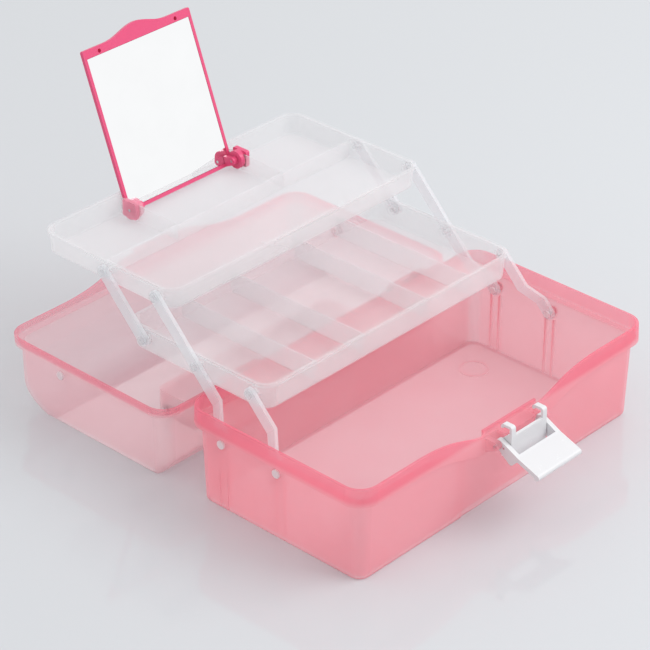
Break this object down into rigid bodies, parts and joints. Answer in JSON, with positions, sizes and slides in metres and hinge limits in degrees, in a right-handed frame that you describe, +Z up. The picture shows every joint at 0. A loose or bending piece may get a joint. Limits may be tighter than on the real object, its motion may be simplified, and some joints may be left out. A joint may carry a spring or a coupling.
{
  "type": "cantilever make-up organiser box",
  "caption": "Pink make-up box standing open: lid folded back, clear trays raised on swinging arms, folding mirror and white lever latch.",
  "frame": {"origin": "centre of the underside of the tub, on the table", "axes": "+X to the right along the front, -Y out of the front towards the user, +Z up; the box stands open, with the lid laid back towards +Y"},
  "size_m": [0.329, 0.443, 0.2682],
  "materials": {
    "tub_plastic": "glossy translucent pink",
    "lid_plastic": "glossy translucent pale pink",
    "tray_plastic": "glossy clear, faintly milky",
    "arm_plastic": "glossy milky white",
    "mirror_pink": "glossy solid pink",
    "mirror_glass": "polished mirror",
    "steel_pin": "bright drawn pin",
    "latch_plastic": "glossy white",
    "handle_plastic": "glossy white",
    "rivet_plastic": "glossy white"
  },
  "bodies": {
    "base": {"base_tub": "tub_plastic", "base_front_pin_left": "rivet_plastic", "base_front_pin_right": "rivet_plastic", "base_rear_pin_left": "rivet_plastic", "base_rear_pin_right": "rivet_plastic", "latch_lever_pin_left": "steel_pin", "latch_lever_pin_right": "steel_pin"},
    "hinge_pins": {"hinge_pin_left": "steel_pin", "hinge_pin_right": "steel_pin"},
    "lid": {"lid_shell": "lid_plastic", "lid_pin_left": "rivet_plastic", "lid_pin_right": "rivet_plastic", "handle_pin_left": "steel_pin", "handle_pin_right": "steel_pin"},
    "long_arm_left": {"long_arm_left": "arm_plastic"},
    "long_arm_right": {"long_arm_right": "arm_plastic"},
    "front_arm_left": {"front_arm_left": "arm_plastic"},
    "front_arm_right": {"front_arm_right": "arm_plastic"},
    "rear_arm_left": {"rear_arm_left": "arm_plastic"},
    "rear_arm_right": {"rear_arm_right": "arm_plastic"},
    "lower_tray": {"lower_tray": "tray_plastic", "lower_front_pin_left": "rivet_plastic", "lower_front_pin_right": "rivet_plastic", "lower_middle_pin_left": "rivet_plastic", "lower_middle_pin_right": "rivet_plastic", "lower_rear_pin_left": "rivet_plastic", "lower_rear_pin_right": "rivet_plastic"},
    "upper_tray": {"upper_tray": "tray_plastic", "upper_front_pin_left": "rivet_plastic", "upper_front_pin_right": "rivet_plastic", "upper_rear_pin_left": "rivet_plastic", "upper_rear_pin_right": "rivet_plastic", "mirror_clip_left": "mirror_pink", "mirror_clip_right": "mirror_pink", "mirror_pin_left": "steel_pin", "mirror_pin_right": "steel_pin"},
    "mirror": {"mirror_frame": "mirror_pink", "mirror_glass": "mirror_glass"},
    "latch_lever": {"latch_lever": "latch_plastic", "latch_hook_pin": "steel_pin"},
    "latch_hook_plate": {"latch_hook_plate": "latch_plastic"},
    "handle": {"carry_handle": "handle_plastic"}
  },
  "joints": [
    {"name": "lid_lift", "type": "hinge", "parent": "hinge_pins", "child": "lid", "pos_m": [0, 0.1, 0.073], "axis": [1, 0, 0], "range_deg": [0, 160]},
    {"name": "lid_close", "type": "hinge", "parent": "hinge_pins", "child": "base", "pos_m": [0, 0.1, 0.073], "axis": [1, 0, 0], "range_deg": [-20, 0]},
    {"name": "tray_lift", "type": "hinge", "parent": "base", "child": "long_arm_left", "pos_m": [0, 0.0558, 0.0593], "axis": [1, 0, 0], "range_deg": [0, 114]},
    {"name": "long_arm_right_swing", "type": "hinge", "parent": "base", "child": "long_arm_right", "pos_m": [0, 0.0558, 0.0593], "axis": [1, 0, 0], "range_deg": [0, 114]},
    {"name": "front_arm_left_swing", "type": "hinge", "parent": "base", "child": "front_arm_left", "pos_m": [0, -0.0002, 0.0593], "axis": [1, 0, 0], "range_deg": [0, 114]},
    {"name": "front_arm_right_swing", "type": "hinge", "parent": "base", "child": "front_arm_right", "pos_m": [0, -0.0002, 0.0593], "axis": [1, 0, 0], "range_deg": [0, 114]},
    {"name": "lower_tray_level", "type": "hinge", "parent": "long_arm_left", "child": "lower_tray", "pos_m": [0, 0.09713, 0.1021], "axis": [1, 0, 0], "range_deg": [-114, 0]},
    {"name": "upper_tray_level", "type": "hinge", "parent": "long_arm_left", "child": "upper_tray", "pos_m": [0, 0.13846, 0.1449], "axis": [1, 0, 0], "range_deg": [-114, 0]},
    {"name": "rear_arm_left_swing", "type": "hinge", "parent": "lower_tray", "child": "rear_arm_left", "pos_m": [0, 0.15313, 0.1021], "axis": [1, 0, 0], "range_deg": [0, 114]},
    {"name": "rear_arm_right_swing", "type": "hinge", "parent": "lower_tray", "child": "rear_arm_right", "pos_m": [0, 0.15313, 0.1021], "axis": [1, 0, 0], "range_deg": [0, 114]},
    {"name": "mirror_fold", "type": "hinge", "parent": "upper_tray", "child": "mirror", "pos_m": [0, 0.24986, 0.1448], "axis": [1, 0, 0], "range_deg": [0, 110.5]},
    {"name": "latch_lever_swing", "type": "hinge", "parent": "base", "child": "latch_lever", "pos_m": [0, -0.097, 0.064], "axis": [1, 0, 0], "range_deg": [0, 70]},
    {"name": "latch_hook_swing", "type": "hinge", "parent": "latch_lever", "child": "latch_hook_plate", "pos_m": [0, -0.10153, 0.06189], "axis": [1, 0, 0], "range_deg": [-70, 0]},
    {"name": "handle_swing", "type": "hinge", "parent": "lid", "child": "handle", "pos_m": [0, 0.181, 0.0065], "axis": [1, 0, 0], "range_deg": [0, 90]}
  ],
  "couplings": [
    {"joint": "long_arm_right_swing", "follows": "tray_lift", "ratio": 1},
    {"joint": "front_arm_left_swing", "follows": "tray_lift", "ratio": 1},
    {"joint": "front_arm_right_swing", "follows": "tray_lift", "ratio": 1},
    {"joint": "rear_arm_left_swing", "follows": "tray_lift", "ratio": 1},
    {"joint": "rear_arm_right_swing", "follows": "tray_lift", "ratio": 1},
    {"joint": "lower_tray_level", "follows": "tray_lift", "ratio": -1},
    {"joint": "upper_tray_level", "follows": "tray_lift", "ratio": -1},
    {"joint": "mirror_fold", "follows": "tray_lift", "ratio": 0.9693},
    {"joint": "lid_lift", "follows": "tray_lift", "ratio": 1.4035},
    {"joint": "latch_hook_swing", "follows": "latch_lever_swing", "ratio": -1}
  ]
}
